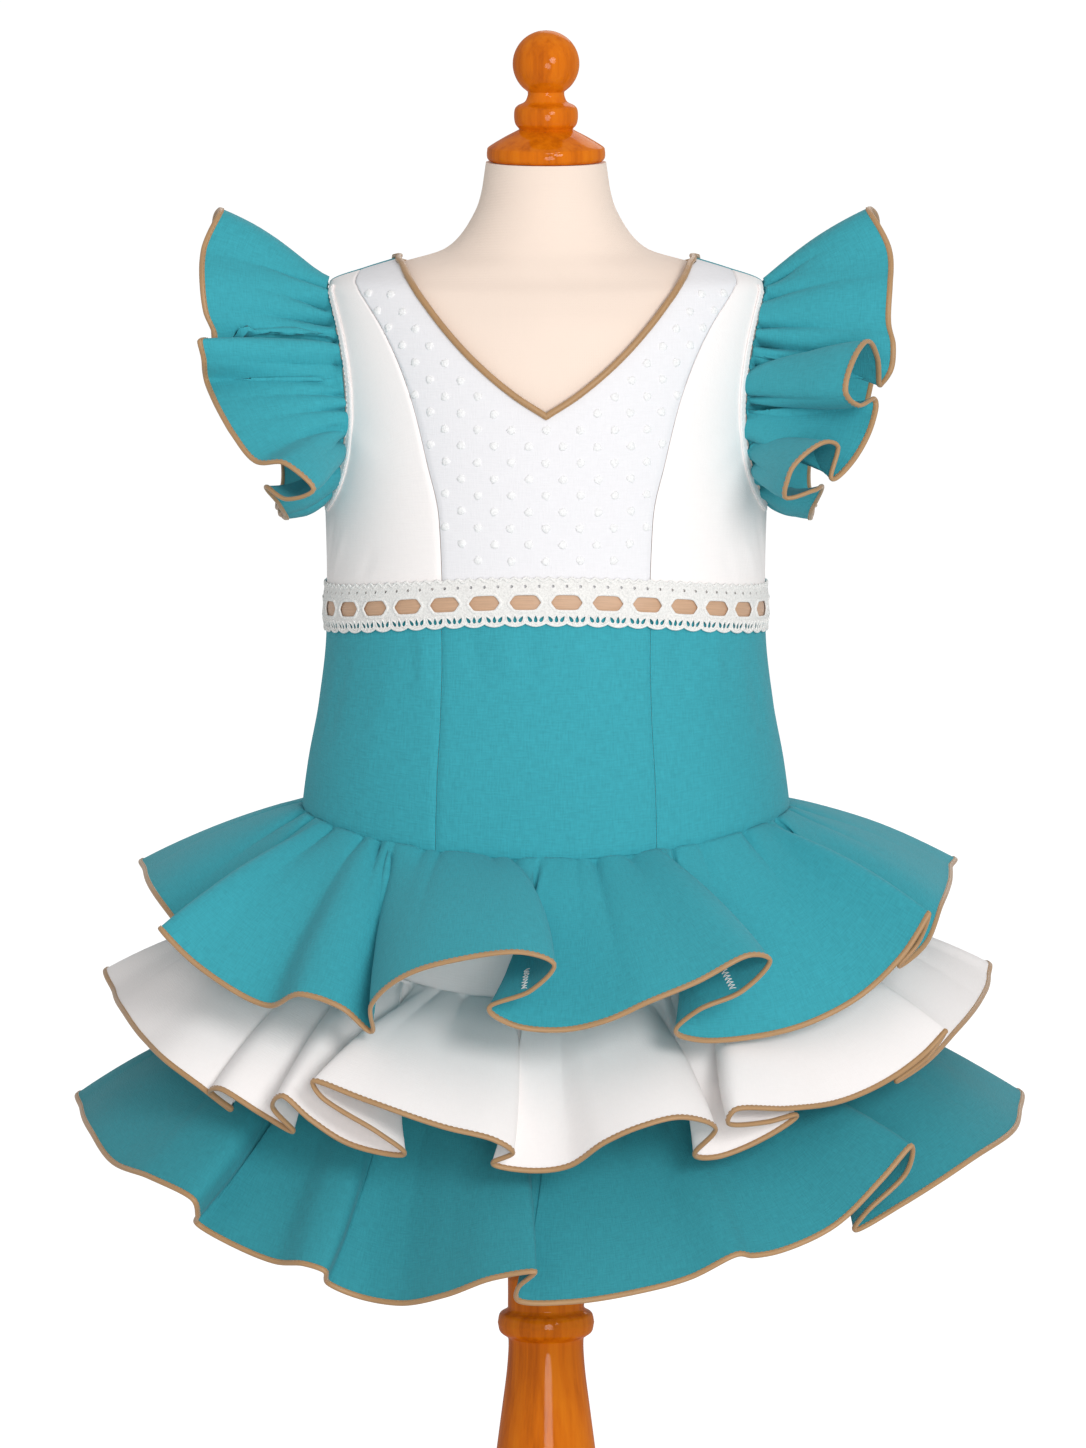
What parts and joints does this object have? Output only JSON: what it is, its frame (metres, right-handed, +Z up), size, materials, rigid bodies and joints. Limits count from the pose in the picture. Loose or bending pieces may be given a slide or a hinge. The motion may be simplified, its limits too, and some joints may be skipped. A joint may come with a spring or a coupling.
{
  "type": "child's flamenco dress on a dress form with a wooden stand",
  "caption": "Sleeveless drop-waist child's flamenco dress with ruffled shoulders, ribboned lace and a ruffled skirt, on a limbless dress form with a turned wooden stand.",
  "frame": {"origin": "centre of the stand base's underside, on the floor", "axes": "+Z up, -Y towards the viewer of the dress's front, +X to that viewer's right"},
  "size_m": [0.4805, 0.4198, 0.837],
  "materials": {
    "teal_crepe": "matte teal crepe, cut on the curve",
    "white_batiste": "matte white crepe, and white cotton lace",
    "dotted_tulle": "white cloth with small woven dots",
    "beige_satin": "beige satin bias binding and ribbon",
    "form_jersey": "cream jersey over a padded form",
    "varnished_wood": "glossy orange-brown varnish"
  },
  "bodies": {
    "root": {"hip_front_centre": "teal_crepe", "hip_front_left": "teal_crepe", "hip_front_right": "teal_crepe", "hip_back_left": "teal_crepe", "hip_back_right": "teal_crepe", "bodice_back_left": "teal_crepe", "bodice_back_right": "teal_crepe", "ruffle_top": "teal_crepe", "ruffle_bottom": "teal_crepe", "sleeve_ruffle_left": "teal_crepe", "sleeve_ruffle_right": "teal_crepe", "bodice_front_left": "white_batiste", "bodice_front_right": "white_batiste", "ruffle_middle": "white_batiste", "underskirt": "white_batiste", "armhole_band_left": "white_batiste", "armhole_band_right": "white_batiste", "lace_front": "white_batiste", "lace_back": "white_batiste", "bodice_front_centre": "dotted_tulle", "binding_top": "beige_satin", "binding_middle": "beige_satin", "binding_bottom": "beige_satin", "sleeve_binding_left": "beige_satin", "sleeve_binding_right": "beige_satin", "neck_binding": "beige_satin", "ribbon": "beige_satin", "form_torso": "form_jersey", "neck_cap": "varnished_wood", "stand_column": "varnished_wood", "stand_base": "varnished_wood"}
  },
  "joints": []
}
